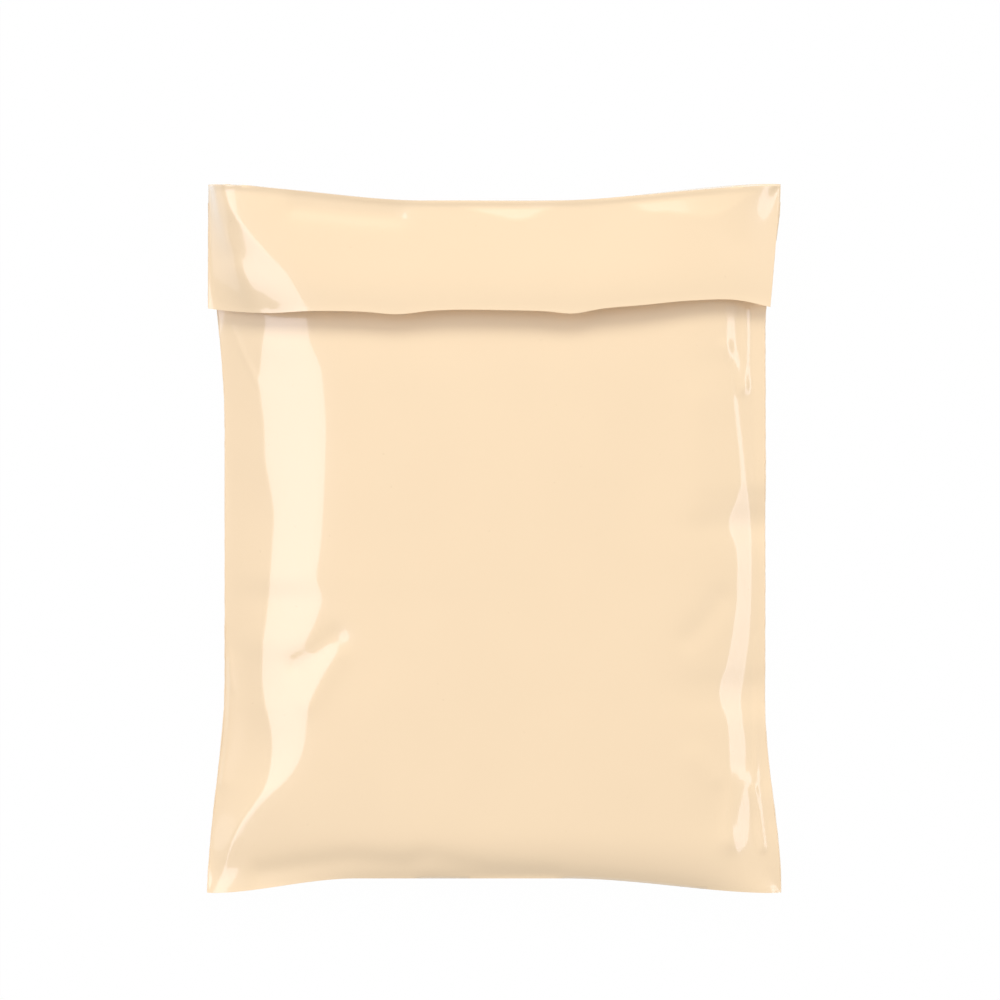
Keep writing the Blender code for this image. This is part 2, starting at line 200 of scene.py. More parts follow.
# %% Edges of the bag
SIDE_DRAW = 7.2 * MM
TOP_DRAW = 7.4 * MM
BOTTOM_DRAW = 6.6 * MM
LEFT_REACHES = (95 * MM, 108 * MM)
RIGHT_REACHES = (84 * MM, 66 * MM)
BOTTOM_REACHES = (66 * MM, 95 * MM)
TOP_REACHES = (98 * MM, 102 * MM)


def ease(share):
    """0 up to a share of 0, 1 from a share of 1, and an S curve between."""
    t = np.clip(share, 0, 1)
    return t * t * (3 - 2 * t)


def draw(from_one, from_other, reaches):
    return ease(from_one / reaches[0]) * ease(from_other / reaches[1])


def left_edge(y):
    return -HALF_WIDTH + SIDE_DRAW * draw(HALF_LENGTH + y, HALF_LENGTH - y, LEFT_REACHES)


def right_edge(y):
    return HALF_WIDTH - SIDE_DRAW * draw(HALF_LENGTH + y, HALF_LENGTH - y, RIGHT_REACHES)


def bottom_edge(x):
    return -HALF_LENGTH + BOTTOM_DRAW * draw(HALF_WIDTH + x, HALF_WIDTH - x, BOTTOM_REACHES)


def top_fold(x):
    return HALF_LENGTH - TOP_DRAW * draw(HALF_WIDTH + x, HALF_WIDTH - x, TOP_REACHES)


middle = np.zeros(1)
waist = float(right_edge(middle)[0] - left_edge(middle)[0])
print("drawn in to", round(waist / MM, 1), "mm across the middle")

# %% [markdown]
# The flap's lip was cut straight, but it waves where the free film bulges and dips. A few points
# along it and a smooth curve through them give that line.

# %% Lip of the flap
FLAP_DEPTH = 57 * MM
LIP_LINE = HALF_LENGTH - FLAP_DEPTH
LIP_WAVES = (
    (0.00, 2.0), (0.04, 0.6), (0.11, -0.7), (0.19, -0.1), (0.28, -0.5), (0.34, -1.6), (0.40, -0.1),
    (0.54, 0.1), (0.60, -0.3), (0.65, -1.3), (0.70, 0.8), (0.77, 2.4), (0.86, 4.6), (0.94, 5.0),
    (1.00, 2.2),
)


def through(points, places):
    """The height at each place of a smooth curve through the points."""
    along, height = np.array(sorted(points), float).T
    slope = np.gradient(height, along)
    i = np.clip(np.searchsorted(along, places) - 1, 0, len(along) - 2)
    span = along[i + 1] - along[i]
    t = np.clip((places - along[i]) / span, 0, 1)
    chord = height[i] + (height[i + 1] - height[i]) * ease(t)
    return chord + span * t * (1 - t) * (slope[i] * (1 - t) - slope[i + 1] * t)


def flap_lip(x):
    return LIP_LINE + MM * through(LIP_WAVES, (HALF_WIDTH + x) / (2 * HALF_WIDTH))


print("lip at", round(float(flap_lip(middle)[0]) / MM, 1), "mm above the middle")

# %% [markdown]
# ## The film's slopes
#
# A highlight's edge lies where the film's slope changes fast, so the shape is given as slopes: how
# steep the film is at each distance in from an edge. Adding them up gives the height. From the left
# weld the film climbs steeply and then leans over in a broad shoulder. From the right weld it stays
# nearly flat for a few millimetres, climbs in two steps and turns over in a narrow shoulder.
#
# A row of a slope table is a distance in mm and the slope there in degrees. The shoulder isn't the
# same all the way along a side, so a band gives its place: a row is a distance along the bag from
# its middle, and how far in from the side the shoulder's outer and inner line lie there. The marks
# are three distances of the slope table: where it starts, and where it meets those two lines.

# %% Slopes at the four edges
WELD_THICKNESS = 0.2 * MM
FILLED_HEIGHT = 30 * MM
LEFT_SLOPES = (
    (7, 26), (9, 30), (11, 32), (24.4, 31), (26, 23), (35, 19), (46, 15), (50, 12), (53, 5), (62, 2),
    (130, 0.6),
)
RIGHT_SLOPES = (
    (7, 5), (9.8, 7), (11, 18), (14, 18), (14.5, 28.5), (20.5, 28.5), (21, 17), (28, 15), (36, 11),
    (44, 5), (56, 1.5), (130, 0.4),
)
LEFT_MARKS = (7, 25, 51)
RIGHT_MARKS = (7, 14.3, 20.7)
BOTTOM_SLOPES = (
    (0, 42), (3, 37), (8, 24), (14, 14), (19, 7), (24, 3.5), (36, 2.5), (60, 1.5), (90, 0.6), (145, 0),
)
TOP_SLOPES = (
    (0, 30), (20, 4), (40, 2), (52, 5), (58, 8), (66, 7), (76, 3), (84, 1), (90, 1.2), (145, 0),
)
LEFT_BAND = (
    (157, 12, 24), (130, 18, 32), (97, 26.5, 44), (87, 24.5, 45.5), (76, 23, 50), (65, 22.7, 51.4),
    (50, 24.4, 52.3), (34, 25, 52), (22, 27.3, 51.5), (12, 29, 50.8), (-1, 28.4, 50), (-9, 28, 49),
    (-18, 27.2, 48), (-26, 26.6, 50.5), (-36, 25.4, 48), (-46, 24.2, 45.5), (-56, 23.8, 47.5),
    (-66, 24, 47), (-74, 25.4, 44.8), (-81, 27.3, 43.8), (-88, 28.7, 43.2), (-98, 28.6, 40.5),
    (-106, 27, 35), (-112, 24.5, 28), (-118, 20.5, 22), (-126, 15, 15.7), (-134, 11, 11.6),
    (-145, 8, 8.6), (-157, 5.5, 6.1),
)
RIGHT_BAND = (
    (157, 13, 19), (110, 19.5, 25), (98, 20, 24.9), (90, 20.2, 24.7), (84, 21.3, 24.6),
    (78, 22.3, 24.4), (70, 20.8, 22.5), (50, 18.5, 20.1), (30, 16.4, 18.1), (24, 15.7, 18),
    (17, 14.8, 20), (6, 13.6, 23.4), (-3, 13.4, 20.6), (-27, 13.5, 20.4), (-45, 14.5, 22.3),
    (-56, 16, 24.5), (-66, 17.4, 27.6), (-71, 18, 27.4), (-80, 17.3, 24.4), (-93, 15.8, 23.2),
    (-105, 17, 23), (-114, 20.6, 23), (-126, 21.5, 22.8), (-134, 20, 20.4), (-157, 14, 14.4),
)


SLOPE_STEP = 0.1
ROUNDING_STEPS = 5


def rise(slopes, distance):
    """How high film with these slopes has climbed at each distance in mm, in mm."""
    along, degrees = np.array(slopes, float).T
    steps = np.arange(along[0], along[-1], SLOPE_STEP)
    steep = np.tan(np.radians(np.interp(steps, along, degrees)))
    window = np.ones(2 * ROUNDING_STEPS + 1)
    padded = np.pad(steep, ROUNDING_STEPS, mode="edge")
    steep = np.convolve(padded, window / len(window), mode="valid")
    height = np.concatenate([[0], np.cumsum(steep[1:] + steep[:-1])]) * (SLOPE_STEP / 2)
    return np.interp(distance, steps, height)


def whole_rise(slopes):
    return rise(slopes, slopes[-1][0])


def climb(slopes, distance):
    """The share of its whole climb that film with these slopes has made at each distance."""
    return rise(slopes, distance / MM) / whole_rise(slopes)


def edge_below(slopes):
    """The height of an edge from which film with these slopes climbs to the contents."""
    return FILLED_HEIGHT - MM * whole_rise(slopes)


def band_lines(band, y):
    """The places of a band's outer and inner line, in mm in from the flat side."""
    outer = through([(place, near) for place, near, far in band], y / MM)
    inner = through([(place, far) for place, near, far in band], y / MM)
    return outer, inner


def drop(slopes, marks, band, edge, distance, y, held):
    """How far the film has dropped below the contents at each distance from a side, in mm.

    Between the band's two lines the film keeps the table's slopes, however wide the band is there.
    Where the edge is held at one height, the film outside the band makes up for the band's width.
    """
    outer, inner = band_lines(band, y)
    d, e = distance / MM, edge / MM
    margin = (outer - e) / (marks[1] - marks[0])
    width = (inner - outer) / (marks[2] - marks[1])
    at_outer, at_inner = rise(slopes, marks[1]), rise(slopes, marks[2])
    above_band = whole_rise(slopes) - at_inner
    in_band = width * (at_inner - rise(slopes, marks[1] + (d - outer) / width))
    whole_band = width * (at_inner - at_outer)
    whole_margin = at_inner - whole_band if held else margin * at_outer
    in_margin = whole_margin * (1 - rise(slopes, marks[0] + (d - e) / margin) / at_outer)
    below = np.where(d < outer, whole_band + in_margin, in_band)
    above_middle = whole_rise(slopes) - rise(slopes, marks[2] + d - inner)
    return np.where(d < inner, above_band + below, above_middle)


def left_drop(x, y):
    edge = HALF_WIDTH + left_edge(y)
    return drop(LEFT_SLOPES, LEFT_MARKS, LEFT_BAND, edge, HALF_WIDTH + x, y, True)


def right_drop(x, y):
    edge = HALF_WIDTH - right_edge(y)
    return drop(RIGHT_SLOPES, RIGHT_MARKS, RIGHT_BAND, edge, HALF_WIDTH - x, y, False)


BOTTOM_EDGE_HEIGHT = edge_below(BOTTOM_SLOPES)
FOLD_HEIGHT = edge_below(TOP_SLOPES)
print("bottom edge", round(float(BOTTOM_EDGE_HEIGHT) / MM, 1), "mm high")
print("top fold", round(float(FOLD_HEIGHT) / MM, 1), "mm high")

# %% [markdown]
# The edge of the bag rides above the table, as high as the film's slopes leave it. Towards a corner
# a side and an end both turn to the corner's own height, slowly at first and then fast. Inside the
# edge, the height that it would have is mixed from both, and the one that is nearer counts for more.

# %% Height of the edge
FILM_THICKNESS = 0.1 * MM
LEFT_CORNER_HEIGHT = 12 * MM
RIGHT_CORNER_HEIGHT = 15 * MM
BOTTOM_LEFT_CORNER_HEIGHT = 16 * MM
SIDE_CORNER_POWER = 6
END_CORNER_POWER = 30


def nearness(place, start, end):
    """Grows towards either of two edges, and is smooth halfway between them."""
    depth = (place - start) * (end - place) / (end - start)
    return 1 / (depth ** 2 + FILM_THICKNESS ** 2)


def edge_height(x, y):
    """How high the bag's edge rides above the table: the sides' height blended into the ends'."""
    to_right = ease((HALF_WIDTH + x) / (2 * HALF_WIDTH))
    to_top = ease((HALF_LENGTH + y) / (2 * HALF_LENGTH))
    left, right = left_drop(left_edge(y), y), right_drop(right_edge(y), y)
    side = FILLED_HEIGHT - MM * (left + (right - left) * to_right)
    end = BOTTOM_EDGE_HEIGHT + (FOLD_HEIGHT - BOTTOM_EDGE_HEIGHT) * to_top
    left_corner = BOTTOM_LEFT_CORNER_HEIGHT + (LEFT_CORNER_HEIGHT - BOTTOM_LEFT_CORNER_HEIGHT) * to_top
    corner = left_corner + (RIGHT_CORNER_HEIGHT - left_corner) * to_right
    along_side = side - (side - corner) * (y / HALF_LENGTH) ** SIDE_CORNER_POWER
    along_end = end - (end - corner) * (x / HALF_WIDTH) ** END_CORNER_POWER
    near_side = nearness(x, left_edge(y), right_edge(y))
    near_end = nearness(y, bottom_edge(x), top_fold(x))
    return (along_side * near_side + along_end * near_end) / (near_side + near_end)


for name, place in (("left", left_edge(middle)), ("right", right_edge(middle))):
    print(name, "edge", round(float(edge_height(place, middle)[0]) / MM, 1), "mm high at the middle")

# %% [markdown]
# ## Creases
#
# Film that is pushed together along its welds buckles into soft ridges and valleys. Each crease is
# a line placed from one corner of the bag, with a height, negative for a valley, and a half-width.

# %% Creases of the film
FRONT_CREASES = (
    ("left", "bottom", ((40, 101), (49, 107.5), (57, 113.5)), -1.1, 5.5),
    ("left", "bottom", ((45, 84), (52, 95), (58, 106)), 0.7, 5),
    ("right", "bottom", ((41, 113), (34, 120), (27, 130)), -0.8, 6),
    ("right", "bottom", ((37, 216), (38, 195), (37, 170)), 0.6, 8.5),
    ("right", "bottom", ((38, 60), (30, 52)), 0.5, 6),
    ("left", "bottom", ((24, 9), (41, 12), (63, 15), (90, 13)), -1.0, 5),
    ("left", "bottom", ((96, 16), (125, 10), (152, 8)), -0.8, 5),
    ("right", "bottom", ((15.9, 258), (15.7, 246), (15.9, 224)), 0.52, 1.7),
    ("right", "bottom", ((24.2, 242), (21, 234), (17.2, 223)), 0.8, 2.9),
    ("right", "bottom", ((17.5, 49), (20.6, 36), (22.3, 24)), 1.45, 5.5),
    ("right", "bottom", ((11.5, 46), (9.8, 36), (7.8, 20)), 1.0, 2),
    ("right", "bottom", ((10.5, 112), (10.5, 80), (10.5, 50)), 0.62, 1.5),
    ("left", "bottom", ((10.3, 251), (16, 238), (21.8, 226)), 0.25, 1.6),
    ("left", "bottom", ((9, 100), (10, 85), (10, 70), (6, 50)), 0.9, 5),
    ("left", "bottom", ((8, 112), (9, 100), (11, 90)), 0.25, 1.5),
)
FLAP_CREASES = (
    ("left", "top", ((40, 11.5), (64, 14), (84, 15.5)), -1.1, 4.5),
    ("right", "top", ((30, 12), (22, 26)), -0.4, 7),
)
BACK_CREASES = (
    ("left", "bottom", ((8, 45), (24, 52), (36, 50)), 0.8, 4),
    ("right", "bottom", ((8, 96), (22, 104), (34, 101)), 0.8, 4),
    ("left", "bottom", ((8, 190), (22, 184), (34, 187)), 0.8, 4),
    ("right", "bottom", ((8, 238), (20, 232), (34, 236)), 0.8, 4),
)


def crease_height(creases, x, y):
    """What the creases add to the height at each point."""
    total = np.zeros_like(x)
    for side, end, points, height, half_width in creases:
        from_side, from_end = MM * np.array(points, float).T
        px = from_side - HALF_WIDTH if side == "left" else HALF_WIDTH - from_side
        py = from_end - HALF_LENGTH if end == "bottom" else HALF_LENGTH - from_end
        nearest = np.full_like(x, np.inf)
        for ax, ay, bx, by in zip(px[:-1], py[:-1], px[1:], py[1:]):
            dx, dy = bx - ax, by - ay
            t = np.clip(((x - ax) * dx + (y - ay) * dy) / (dx * dx + dy * dy), 0, 1)
            nearest = np.minimum(nearest, np.hypot(x - ax - t * dx, y - ay - t * dy))
        total += height * MM * np.exp(-((nearest / (half_width * MM)) ** 2))
    return total


print(len(FRONT_CREASES) + len(FLAP_CREASES) + len(BACK_CREASES), "creases")

# %% [markdown]
# ## The front and the back
#
# The front climbs from the edges to the contents, and sinks a little towards the lower corners,
# which the contents don't reach. It is the product of one climb from each edge, so it is smooth
# where two of them meet. The back is flat where the bag lies on the table, and turns up round that.

# %% Heights of the front and the back
FRONT_FADE_SHARE = 0.07
BACK_FADE_SHARE = 0.25
# Each lower corner: how deep it sinks, how far along the bottom edge, and how far up the side.
SUNKEN_CORNERS = (("left", 14, 110, 62), ("right", 3, 60, 60))
BACK_SIDE_SLOPES = ((0, 4), (2.5, 5), (5, 34), (15, 28), (28, 12), (38, 0))
BACK_END_SLOPES = ((0, 30), (6, 26), (16, 16), (34, 0))


def sunken_corners(x, y):
    """How far the front sinks where the contents leave its two lower corners empty."""
    total = np.zeros_like(x)
    for side, depth, width, length in SUNKEN_CORNERS:
        from_side = HALF_WIDTH + x if side == "left" else HALF_WIDTH - x
        beside = 1 - ease(from_side / MM / width)
        below = (1 - np.clip((HALF_LENGTH + y) / MM / length, 0, 1)) ** 2
        total += depth * MM * beside * below
    return total


def front_height(x, y):
    """The front, from its edges up over the contents."""
    left = left_drop(x, y) / left_drop(left_edge(y), y)
    right = right_drop(x, y) / right_drop(right_edge(y), y)
    along = climb(BOTTOM_SLOPES, y - bottom_edge(x)) * climb(TOP_SLOPES, top_fold(x) - y)
    full = (1 - left) * (1 - right) * along
    edge = edge_height(x, y) + WELD_THICKNESS / 2
    creases = crease_height(FRONT_CREASES, x, y) * ease(full / FRONT_FADE_SHARE)
    return edge + (FILLED_HEIGHT - sunken_corners(x, y) - edge) * full + creases


def back_height(x, y):
    """0 where the bag lies on the table, rising outside that to its edge."""
    sides = climb(BACK_SIDE_SLOPES, x - left_edge(y)) * climb(BACK_SIDE_SLOPES, right_edge(y) - x)
    ends = climb(BACK_END_SLOPES, y - bottom_edge(x)) * climb(BACK_END_SLOPES, top_fold(x) - y)
    lifted = 1 - sides * ends
    fade = ease(lifted / BACK_FADE_SHARE) * ease((1 - lifted) / BACK_FADE_SHARE)
    return (edge_height(x, y) - WELD_THICKNESS / 2) * lifted + crease_height(BACK_CREASES, x, y) * fade


print("front", round(float(front_height(middle, middle)[0]) / MM, 1), "mm high in the middle")

# %% [markdown]
# ## The flap
#
# The flap turns over at the top fold, lies on the front where the adhesive holds it, and lifts off
# towards its lip, where its last millimetres curl up. Its two ends stand higher than the sides of
# the bag below them. Beside the fold, the film bends over in facets, which are short flat pieces
# between soft kinks, and each of them is a place along the fold where the roll is wider.

# %% Heights of the flap
CLOSED_GAP = 0.5 * MM
LIP_CURL = 0.3 * MM
LIP_CURL_WIDTH = 1.5 * MM
TONGUE_DEPTH = 26 * MM
FOLD_ROLL = 1 * MM
END_GAP = 3 * MM
FLAP_SLOPES = (
    (0, 87), (0.6, 87), (1.0, -18), (3.4, -18), (4.2, 8), (30, 8), (37, 5), (42, 1), (47, -4), (60, -6),
)
FLAP_LEFT_SLOPES = (
    (0, 14), (3, 34), (17, 38), (25, 20), (43.5, 12), (46, 5), (60, 2), (120, 0),
)
FLAP_RIGHT_SLOPES = ((0, 10), (14, 10), (24, 9), (40, 7), (58, 2), (90, 0))
FLAP_LEFT_MARKS = (0, 25, 45)
FLAP_LEFT_BAND = (
    (94, 33, 47), (99, 30, 45.5), (105, 25, 42.5), (111, 20.6, 39.4), (118, 16.6, 34.8),
    (124, 14.8, 28.5), (132, 11, 21), (139, 8.5, 15.5), (144, 6.5, 12), (157, 3, 8),
)
FOLD_FADE = 45 * MM
FACET_START = 3.7
FACET_STEEPER = 0.27
# A place along the fold as a share of its length, and how far down the facet reaches there in mm.
FACETS = (
    (0, 0), (0.44, 0), (0.484, 3), (0.51, 4.6), (0.536, 6), (0.5625, 5), (0.585, 2), (0.61, 0),
    (0.73, 0), (0.764, 5.5), (0.79, 6), (0.825, 8), (0.86, 9.3), (0.886, 9.2), (0.904, 7.5),
    (0.926, 4), (0.95, 1), (1, 0),
)


def flap_marks(x, y):
    """The distance from the flap's left end as its slope table counts it."""
    outer, inner = band_lines(FLAP_LEFT_BAND, y)
    _, at_outer, at_inner = FLAP_LEFT_MARKS
    d = (HALF_WIDTH + x) / MM
    in_band = at_outer + (d - outer) * (at_inner - at_outer) / (inner - outer)
    past_outer = np.where(d < inner, in_band, at_inner + d - inner)
    return MM * np.where(d < outer, d * at_outer / outer, past_outer)


def flap_middle_height(x, y):
    """The flap between its two ends: up from the fold, over its facets and down to the lip."""
    from_fold = (top_fold(x) - y) / MM
    facet = np.maximum(through(FACETS, (HALF_WIDTH + x) / (2 * HALF_WIDTH)), 0)
    facet_left = np.clip(FACET_START + facet - from_fold, 0, facet)
    fold_drop = FOLD_HEIGHT - edge_height(x, np.full_like(x, HALF_LENGTH))
    risen = MM * (rise(FLAP_SLOPES, from_fold) - FACET_STEEPER * facet_left)
    return FOLD_HEIGHT + risen - fold_drop * (1 - ease((top_fold(x) - y) / FOLD_FADE))


def flap_height(x, y):
    """The flap's outer face."""
    above_lip = y - flap_lip(x)
    down = 1 - above_lip / (top_fold(x) - flap_lip(x))
    edge = edge_height(x, y) + WELD_THICKNESS / 2
    end = edge + CLOSED_GAP + END_GAP * ease(down)
    inward = climb(FLAP_LEFT_SLOPES, flap_marks(x, y)) * climb(FLAP_RIGHT_SLOPES, HALF_WIDTH - x)
    height = end + (flap_middle_height(x, y) - end) * inward
    curl = LIP_CURL * np.exp(-above_lip / LIP_CURL_WIDTH)
    rolled = ease((top_fold(x) - y) / FOLD_ROLL)
    return edge + (height - edge + curl + crease_height(FLAP_CREASES, x, y)) * rolled


def under_flap_height(x, y):
    """The front below the flap, which rises to meet the flap where the adhesive holds it."""
    up = ease((y - flap_lip(x)) / TONGUE_DEPTH)
    front = front_height(x, y)
    return front + (flap_height(x, y) - CLOSED_GAP - front) * up


lip_middle = flap_lip(middle)
lip_height = flap_height(middle, lip_middle)
print("lip", round(float(lip_height[0]) / MM, 1), "mm high in the middle,",
      round(float((lip_height - front_height(middle, lip_middle))[0]) / MM, 1), "mm above the front")

# %% [markdown]
# ## One closed skin
#
# The film is one surface, so it is made as one mesh: rows of points that go up the front to where
# the flap is stuck, down the flap's underside, round its lip, up its outer face, over the fold and
# down the back. The welded sides are closed by narrow strips.

# %% Rows of the film
GRID = 1.4 * MM
BEND_GRID = 0.8 * MM
BEND_WIDTH = 30 * MM
MIDDLE_GRID = 2.6 * MM
FREE_END_WIDTH = 30 * MM
FOLD_TO_FREE_END = 8 * MM
RIGHT_END_DRAW = 5.4 * MM
TONGUE_CROWDING = 1.4
FOLD_CROWDING = 1.3


def evenly(length, spacing=GRID):
    """Shares of a length at about this spacing."""
    return np.linspace(0, 1, int(round(length / spacing)) + 1)


def closer_at_ends(length):
    """Shares of a length, closely spaced over the bends beside its two ends and wider between them."""
    places = [0]
    while places[-1] < length / 2:
        widening = ease((places[-1] - BEND_WIDTH) / BEND_WIDTH)
        places.append(places[-1] + BEND_GRID + (MIDDLE_GRID - BEND_GRID) * widening)
    half = np.array(places) / places[-1] / 2
    return np.concatenate([half, 1 - half[-2::-1]])


def bag_points(across, y, height):
    x = left_edge(y) + (right_edge(y) - left_edge(y)) * across
    return np.stack([x, y, height(x, y)], axis=-1)


def flap_points(across, y, height):
    """Points of the flap, whose right end is drawn in towards the lip."""
    drawn = RIGHT_END_DRAW * np.clip((HALF_LENGTH - y) / FLAP_DEPTH, 0, 1)
    x = -HALF_WIDTH + (2 * HALF_WIDTH - drawn) * across
    return np.stack([x, y, height(x, y)], axis=-1)


def film_runs(across):
    """The film's surface all the way round the bag, as six runs of rows of points."""
    x = HALF_WIDTH * (2 * across - 1)
    bottom, fold, lip = bottom_edge(x), top_fold(x), flap_lip(x)
    from_end = np.minimum(across, 1 - across) * 2 * HALF_WIDTH
    free_end = fold - FOLD_TO_FREE_END
    crotch = free_end + (lip + TONGUE_DEPTH - free_end) * ease(from_end / FREE_END_WIDTH)
    front_y = bottom + (lip - bottom) * evenly(HALF_LENGTH + LIP_LINE)[:, None]
    tongue_y = lip + (crotch - lip) * evenly(TONGUE_CROWDING * TONGUE_DEPTH)[:, None]
    to_fold = 1 - (1 - evenly(FLAP_DEPTH - TONGUE_DEPTH)[:, None]) ** FOLD_CROWDING
    closed_y = crotch + (fold - crotch) * to_fold
    bag_y = np.concatenate([front_y, tongue_y[1:]])
    underside = flap_points(across, tongue_y[-2::-1], flap_height) - [0, 0, FILM_THICKNESS]
    open_front = bag_points(across, front_y, front_height)
    covered_front = bag_points(across, tongue_y[1:], under_flap_height)
    return (
        np.concatenate([open_front, covered_front]),
        underside,
        flap_points(across, tongue_y, flap_height),
        flap_points(across, closed_y[1:], flap_height),
        bag_points(across, closed_y[::-1], back_height),
        bag_points(across, bag_y[-2::-1], back_height),
    )


across = closer_at_ends(2 * HALF_WIDTH)
runs = film_runs(across)
print("rows of each run:", [len(run) for run in runs], "of", len(across), "points")

# %% [markdown]
# The rows become one mesh: each row is joined to the next, all the way round, and narrow strips
# close the film along its two welded sides. The shading is smooth except where the film turns
# sharply, at the welds and at the lip, so the gloss isn't smeared round those edges.

# %% Film mesh
SHARP_ANGLE = math.radians(60)


def end_faces(column, starts, columns):
    """The faces that close the film along one welded side."""
    rows = np.split(np.arange(starts[-1]) * columns + column, starts[1:-1])
    front, under, tongue, closed, behind, back = (list(run) for run in rows)
    crotch, over, below = front[-1], tongue[-1], behind[-1]
    facing = (
        (front, back[::-1] + [below]),
        ([crotch] + under, tongue[::-1]),
        ([over] + closed, behind[::-1]),
    )
    faces = [(crotch, over, below)]
    for one, other in facing:
        faces += zip(one[:-1], one[1:], other[1:], other[:-1])
    return faces


def film_mesh(runs):
    starts = np.cumsum([0] + [len(run) for run in runs])
    columns = runs[0].shape[1]
    number = np.arange(starts[-1] * columns).reshape(-1, columns)
    after = np.roll(number, -1, axis=0)
    quads = np.stack([number[:, :-1], number[:, 1:], after[:, 1:], after[:, :-1]], axis=-1)
    faces = quads.reshape(-1, 4).tolist()
    for column in (0, columns - 1):
        faces += end_faces(column, starts, columns)
    mesh = bpy.data.meshes.new("mailer_film")
    mesh.from_pydata(np.concatenate(runs).reshape(-1, 3).tolist(), [], faces)
    solid = bmesh.new()
    solid.from_mesh(mesh)
    bmesh.ops.recalc_face_normals(solid, faces=solid.faces)
    solid.to_mesh(mesh)
    solid.free()
    mesh.shade_smooth()
    mesh.set_sharp_from_angle(angle=SHARP_ANGLE)
    return mesh


film = bpy.data.objects.new("mailer_film", film_mesh(runs))
bpy.context.scene.collection.objects.link(film)
print("film:", sum(len(p.vertices) - 2 for p in film.data.polygons), "triangles")

# %% [markdown]
# ## The melted welds
#
# A bag is cut off and welded in one stroke by a hot wire, which leaves a thin bead of melted film
# along each side. The bead is a curve along the film's own edge, with a radius that varies a little.
# The flap's ends were cut by the same wire, so they have a thinner one.

# %% Lines for the beads
WELD_BEAD = 0.28 * MM
FLAP_BEAD = 0.16 * MM


def side_line(run_numbers, column):
    """The points down one column of some of the film's runs, as one line."""
    return np.concatenate([runs[i][:, column] for i in run_numbers])


def middle_line(column):
    """The line halfway between the front and the back of the bag at one of its sides."""
    front, behind, back = runs[0][:, column], runs[4][:, column], runs[5][:, column]
    return (front + np.concatenate([behind[-1:], back])[::-1]) / 2


def line_mesh(name, lines):
    points = np.concatenate(lines)
    edges, first = [], 0
    for line in lines:
        edges += [(i, i + 1) for i in range(first, first + len(line) - 1)]
        first += len(line)
    mesh = bpy.data.meshes.new(name)
    mesh.from_pydata(points.tolist(), edges, [])
    return mesh


last = len(across) - 1
weld_lines = [middle_line(0), middle_line(last)]
flap_lines = [side_line((2,), column) - [0, 0, FILM_THICKNESS / 2] for column in (0, last)]
print("weld lines of", [len(line) for line in weld_lines + flap_lines], "points")

# %% [markdown]
# The bead is made by a Geometry Nodes tree. It turns the line into a curve, spaces its points
# evenly, and sweeps a circle along it whose size at each point comes from a noise.

# %% Bead tree
BEAD_STEP = 0.9 * MM
BEAD_SIDES = 8
BEAD_NOISE_SCALE = 160
BEAD_NOISE_SHARE = 0.45
NOISE_LOW = 0.25
NOISE_HIGH = 0.75


def bead_tree(material):
    """Node tree that sweeps an uneven bead along the lines of a mesh."""
    tree = bpy.data.node_groups.new("melted_bead", "GeometryNodeTree")
    tree.interface.new_socket("Geometry", in_out="INPUT", socket_type="NodeSocketGeometry")
    tree.interface.new_socket("Radius", in_out="INPUT", socket_type="NodeSocketFloat")
    tree.interface.new_socket("Unevenness", in_out="INPUT", socket_type="NodeSocketFloat")
    tree.interface.new_socket("Geometry", in_out="OUTPUT", socket_type="NodeSocketGeometry")
    node = {name: tree.nodes.new(kind) for name, kind in (
        ("in", "NodeGroupInput"), ("curve", "GeometryNodeMeshToCurve"),
        ("even", "GeometryNodeResampleCurve"), ("noise", "ShaderNodeTexNoise"),
        ("centred", "ShaderNodeMapRange"), ("scaled", "ShaderNodeMath"),
        ("circle", "GeometryNodeCurvePrimitiveCircle"),
        ("sweep", "GeometryNodeCurveToMesh"), ("smooth", "GeometryNodeSetShadeSmooth"),
        ("real", "GeometryNodeRealizeInstances"), ("film", "GeometryNodeSetMaterial"),
        ("out", "NodeGroupOutput"), ("low", "ShaderNodeMath"), ("high", "ShaderNodeMath"),
    )}
    node["even"].mode = "LENGTH"
    node["even"].inputs["Length"].default_value = BEAD_STEP
    node["noise"].inputs["Scale"].default_value = BEAD_NOISE_SCALE
    node["low"].operation = "SUBTRACT"
    node["low"].inputs[0].default_value = 1
    node["high"].operation = "ADD"
    node["high"].inputs[0].default_value = 1
    node["scaled"].operation = "MULTIPLY"
    node["circle"].inputs["Resolution"].default_value = BEAD_SIDES
    node["circle"].inputs["Radius"].default_value = 1
    node["sweep"].inputs["Fill Caps"].default_value = True
    node["film"].inputs["Material"].default_value = material
    node["centred"].inputs["From Min"].default_value = NOISE_LOW
    node["centred"].inputs["From Max"].default_value = NOISE_HIGH
    for one, output, other, entry in (
        ("in", "Geometry", "curve", "Mesh"), ("curve", "Curve", "even", "Curve"),
        ("even", "Curve", "sweep", "Curve"), ("in", "Unevenness", "low", 1),
        ("in", "Unevenness", "high", 1), ("noise", 0, "centred", "Value"),
        ("low", 0, "centred", "To Min"), ("high", 0, "centred", "To Max"),
        ("centred", 0, "scaled", 0), ("in", "Radius", "scaled", 1),
        ("scaled", 0, "sweep", "Scale"),
        ("circle", "Curve", "sweep", "Profile Curve"), ("sweep", "Mesh", "smooth", "Geometry"),
        ("smooth", "Geometry", "real", "Geometry"), ("real", "Geometry", "film", "Geometry"),
        ("film", "Geometry", "out", "Geometry"),
    ):
        tree.links.new(node[one].outputs[output], node[other].inputs[entry])
    return tree


